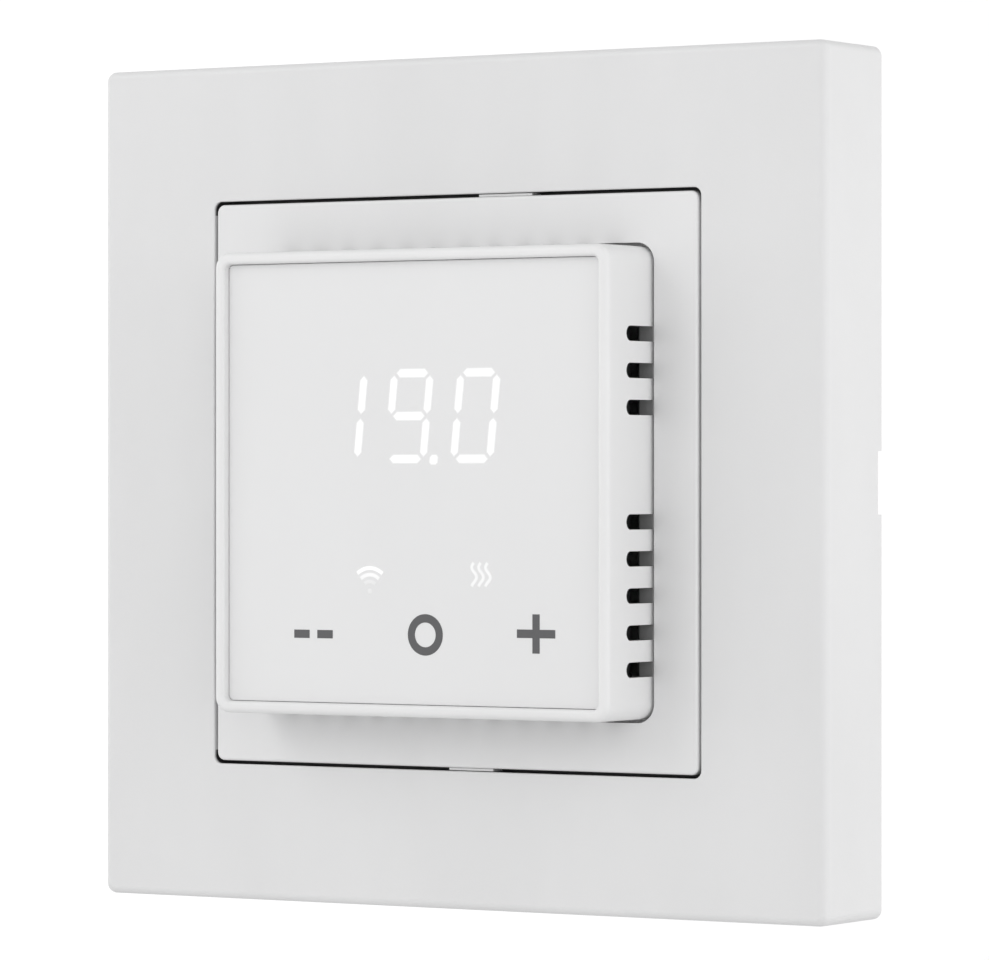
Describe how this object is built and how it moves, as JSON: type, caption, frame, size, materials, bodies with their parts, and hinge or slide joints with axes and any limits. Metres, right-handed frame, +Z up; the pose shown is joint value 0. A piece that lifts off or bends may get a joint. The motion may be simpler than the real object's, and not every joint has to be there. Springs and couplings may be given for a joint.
{
  "type": "wall thermostat",
  "caption": "Square flush-mounted room thermostat: flat outer frame, raised vented display hood with touch panel, and a wiring module behind on a steel mounting ring.",
  "frame": {"origin": "centre of the thermostat on the wall plane, which is the back of the mounting ring and of the outer frame", "axes": "+X to the right for a person facing it, +Y into the wall, +Z up; the display faces -Y"},
  "size_m": [0.0824, 0.0433, 0.0824],
  "materials": {
    "frame_plastic": "satin white",
    "plate_plastic": "satin white",
    "hood_plastic": "satin white",
    "panel_plastic": "smooth white, lit from behind",
    "housing_plastic": "fine spark-eroded texture",
    "lid_plastic": "fine spark-eroded texture",
    "ring_steel": "zinc plated sheet",
    "screw_steel": "zinc plated",
    "cage_steel": "zinc plated",
    "relay_iron": "plain soft iron",
    "ferrite": "sintered",
    "brass": "bright",
    "copper": "enamelled wire",
    "board_green": "solder mask",
    "board_black": "matt black solder mask",
    "label_film": "silver grey polyester film",
    "terminal_plastic": "moulded",
    "black_plastic": "moulded",
    "relay_plastic": "moulded",
    "capacitor_sleeve": "shrunk sleeve",
    "capacitor_yellow": "cast resin case",
    "varistor_blue": "dipped resin",
    "fuse_brown": "moulded",
    "display_white": "moulded",
    "lamp_lens": "cast resin",
    "sensor_resin": "dipped resin",
    "tin_can": "tinned sheet"
  },
  "bodies": {
    "base": {"board_socket": "black_plastic", "bulk_capacitor": "capacitor_sleeve", "film_capacitor": "capacitor_yellow", "fixed_contact": "brass", "fuse": "fuse_brown", "inner_cover": "lid_plastic", "mounting_ring": "ring_steel", "power_board": "board_green", "rating_label": "label_film", "rear_housing": "housing_plastic", "rectifier": "black_plastic", "relay_base": "relay_plastic", "relay_case": "relay_plastic", "relay_coil": "copper", "relay_yoke": "relay_iron", "ring_screws": "screw_steel", "terminal_bars": "brass", "terminal_block": "terminal_plastic", "transformer_core": "ferrite", "transformer_winding": "copper", "varistor": "varistor_blue"},
    "frame": {"outer_frame": "frame_plastic"},
    "cover": {"cover_plate": "plate_plastic", "front_hood": "hood_plastic", "front_panel": "panel_plastic", "display_board": "board_black", "display_screws": "screw_steel", "digit_display": "display_white", "light_wells": "display_white", "indicator_lamps": "lamp_lens", "key_springs": "brass", "room_sensor": "sensor_resin", "radio_module": "tin_can", "control_chip": "black_plastic", "board_header": "black_plastic"},
    "relay_armature": {"relay_armature": "relay_iron", "moving_contact": "brass"},
    "terminal_screw_1": {"terminal_screw_1": "screw_steel"},
    "clamp_cage_1": {"clamp_cage_1": "cage_steel"},
    "terminal_screw_2": {"terminal_screw_2": "screw_steel"},
    "clamp_cage_2": {"clamp_cage_2": "cage_steel"},
    "terminal_screw_3": {"terminal_screw_3": "screw_steel"},
    "clamp_cage_3": {"clamp_cage_3": "cage_steel"},
    "terminal_screw_4": {"terminal_screw_4": "screw_steel"},
    "clamp_cage_4": {"clamp_cage_4": "cage_steel"},
    "terminal_screw_5": {"terminal_screw_5": "screw_steel"},
    "clamp_cage_5": {"clamp_cage_5": "cage_steel"},
    "terminal_screw_6": {"terminal_screw_6": "screw_steel"},
    "clamp_cage_6": {"clamp_cage_6": "cage_steel"}
  },
  "joints": [
    {"name": "frame_pull", "type": "slide", "parent": "base", "child": "frame", "axis": [0, -1, 0], "range_m": [0, 0.03]},
    {"name": "cover_pull", "type": "slide", "parent": "frame", "child": "cover", "axis": [0, -1, 0], "range_m": [0, 0.03]},
    {"name": "armature_tilt", "type": "hinge", "parent": "base", "child": "relay_armature", "pos_m": [-0.0112, 0.0174, 0.0126], "axis": [1, 0, 0], "range_deg": [0, 5], "stiffness_Nm_per_rad": 0.02, "springref_deg": -2.86},
    {"name": "terminal_screw_1_turn", "type": "hinge", "parent": "base", "child": "terminal_screw_1", "pos_m": [-0.0125, 0.0195, -0.019], "axis": [0, -1, 0], "range_deg": [0, 1800]},
    {"name": "clamp_cage_1_rise", "type": "slide", "parent": "base", "child": "clamp_cage_1", "axis": [0, 1, 0], "range_m": [0, 0.0025]},
    {"name": "terminal_screw_2_turn", "type": "hinge", "parent": "base", "child": "terminal_screw_2", "pos_m": [-0.0075, 0.0195, -0.019], "axis": [0, -1, 0], "range_deg": [0, 1800]},
    {"name": "clamp_cage_2_rise", "type": "slide", "parent": "base", "child": "clamp_cage_2", "axis": [0, 1, 0], "range_m": [0, 0.0025]},
    {"name": "terminal_screw_3_turn", "type": "hinge", "parent": "base", "child": "terminal_screw_3", "pos_m": [-0.0025, 0.0195, -0.019], "axis": [0, -1, 0], "range_deg": [0, 1800]},
    {"name": "clamp_cage_3_rise", "type": "slide", "parent": "base", "child": "clamp_cage_3", "axis": [0, 1, 0], "range_m": [0, 0.0025]},
    {"name": "terminal_screw_4_turn", "type": "hinge", "parent": "base", "child": "terminal_screw_4", "pos_m": [0.0025, 0.0195, -0.019], "axis": [0, -1, 0], "range_deg": [0, 1800]},
    {"name": "clamp_cage_4_rise", "type": "slide", "parent": "base", "child": "clamp_cage_4", "axis": [0, 1, 0], "range_m": [0, 0.0025]},
    {"name": "terminal_screw_5_turn", "type": "hinge", "parent": "base", "child": "terminal_screw_5", "pos_m": [0.0075, 0.0195, -0.019], "axis": [0, -1, 0], "range_deg": [0, 1800]},
    {"name": "clamp_cage_5_rise", "type": "slide", "parent": "base", "child": "clamp_cage_5", "axis": [0, 1, 0], "range_m": [0, 0.0025]},
    {"name": "terminal_screw_6_turn", "type": "hinge", "parent": "base", "child": "terminal_screw_6", "pos_m": [0.0125, 0.0195, -0.019], "axis": [0, -1, 0], "range_deg": [0, 1800]},
    {"name": "clamp_cage_6_rise", "type": "slide", "parent": "base", "child": "clamp_cage_6", "axis": [0, 1, 0], "range_m": [0, 0.0025]}
  ],
  "couplings": [
    {"joint": "terminal_screw_1_turn", "follows": "clamp_cage_1_rise", "rad_per_m": 12566},
    {"joint": "terminal_screw_2_turn", "follows": "clamp_cage_2_rise", "rad_per_m": 12566},
    {"joint": "terminal_screw_3_turn", "follows": "clamp_cage_3_rise", "rad_per_m": 12566},
    {"joint": "terminal_screw_4_turn", "follows": "clamp_cage_4_rise", "rad_per_m": 12566},
    {"joint": "terminal_screw_5_turn", "follows": "clamp_cage_5_rise", "rad_per_m": 12566},
    {"joint": "terminal_screw_6_turn", "follows": "clamp_cage_6_rise", "rad_per_m": 12566}
  ]
}
